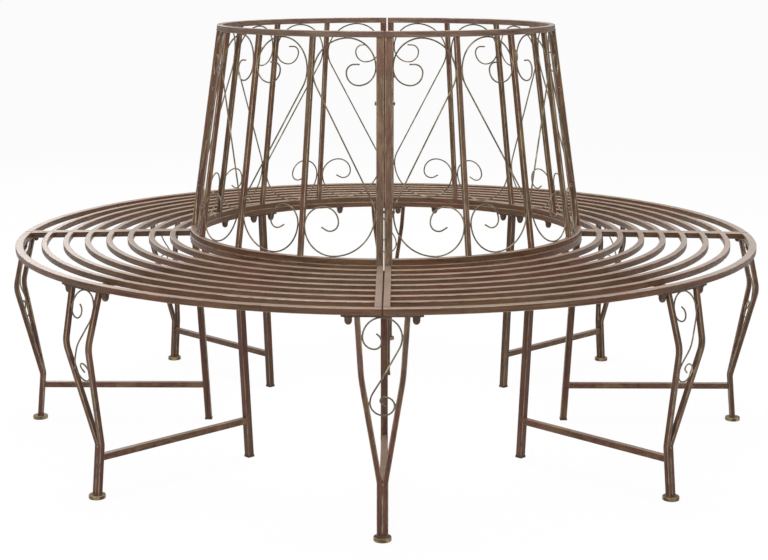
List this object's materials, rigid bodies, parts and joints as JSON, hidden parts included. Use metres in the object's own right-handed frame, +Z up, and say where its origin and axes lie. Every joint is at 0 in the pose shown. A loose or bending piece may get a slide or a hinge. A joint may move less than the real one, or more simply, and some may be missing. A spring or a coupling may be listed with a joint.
{
  "type": "tree bench",
  "caption": "Round steel garden bench that closes around a tree trunk: slatted ring seat, slanted backrest with wire scrolls, and curved legs tied to straight ones.",
  "frame": {"origin": "on the ground, at the centre of the tree space", "axes": "+Z up; -Y towards the seam between two sections that faces the viewer; +X to the viewer's right"},
  "size_m": [1.599, 1.599, 0.8625],
  "materials": {
    "frame_steel": "satin bronze-brown paint, rubbed with dull gold along edges and welds",
    "scroll_wire": "the same brown paint on thin round wire, with olive-gold rub on the curls",
    "foot_steel": "olive-gold rub over the brown paint",
    "cap_plastic": "dark brown moulded plug, slightly scuffed",
    "fastener_steel": "bronze-coated studs, bolts and domed nuts"
  },
  "bodies": {
    "root": {"back_scrolls_1": "scroll_wire", "back_scrolls_2": "scroll_wire", "back_scrolls_3": "scroll_wire", "back_scrolls_4": "scroll_wire", "back_spindles_1": "frame_steel", "back_spindles_2": "frame_steel", "back_spindles_3": "frame_steel", "back_spindles_4": "frame_steel", "bottom_rail_1": "frame_steel", "bottom_rail_2": "frame_steel", "bottom_rail_3": "frame_steel", "bottom_rail_4": "frame_steel", "domed_nuts": "fastener_steel", "end_bars_1": "frame_steel", "end_bars_2": "frame_steel", "end_bars_3": "frame_steel", "end_bars_4": "frame_steel", "end_posts_1": "frame_steel", "end_posts_2": "frame_steel", "end_posts_3": "frame_steel", "end_posts_4": "frame_steel", "foot_caps": "cap_plastic", "foot_discs": "foot_steel", "inner_leg_plates": "frame_steel", "inner_legs": "frame_steel", "inner_rim_1": "frame_steel", "inner_rim_2": "frame_steel", "inner_rim_3": "frame_steel", "inner_rim_4": "frame_steel", "leg_scrolls": "scroll_wire", "leg_studs": "fastener_steel", "outer_leg_1": "frame_steel", "outer_leg_2": "frame_steel", "outer_leg_3": "frame_steel", "outer_leg_4": "frame_steel", "outer_leg_5": "frame_steel", "outer_leg_6": "frame_steel", "outer_leg_7": "frame_steel", "outer_leg_8": "frame_steel", "outer_leg_plates": "frame_steel", "outer_rim_1": "frame_steel", "outer_rim_2": "frame_steel", "outer_rim_3": "frame_steel", "outer_rim_4": "frame_steel", "rail_studs": "fastener_steel", "seam_bolts": "fastener_steel", "seam_nuts": "fastener_steel", "seat_slats_1": "frame_steel", "seat_slats_2": "frame_steel", "seat_slats_3": "frame_steel", "seat_slats_4": "frame_steel", "slat_strap_1": "frame_steel", "slat_strap_2": "frame_steel", "slat_strap_3": "frame_steel", "slat_strap_4": "frame_steel", "stretchers": "frame_steel", "top_rail_1": "frame_steel", "top_rail_2": "frame_steel", "top_rail_3": "frame_steel", "top_rail_4": "frame_steel"}
  },
  "joints": []
}
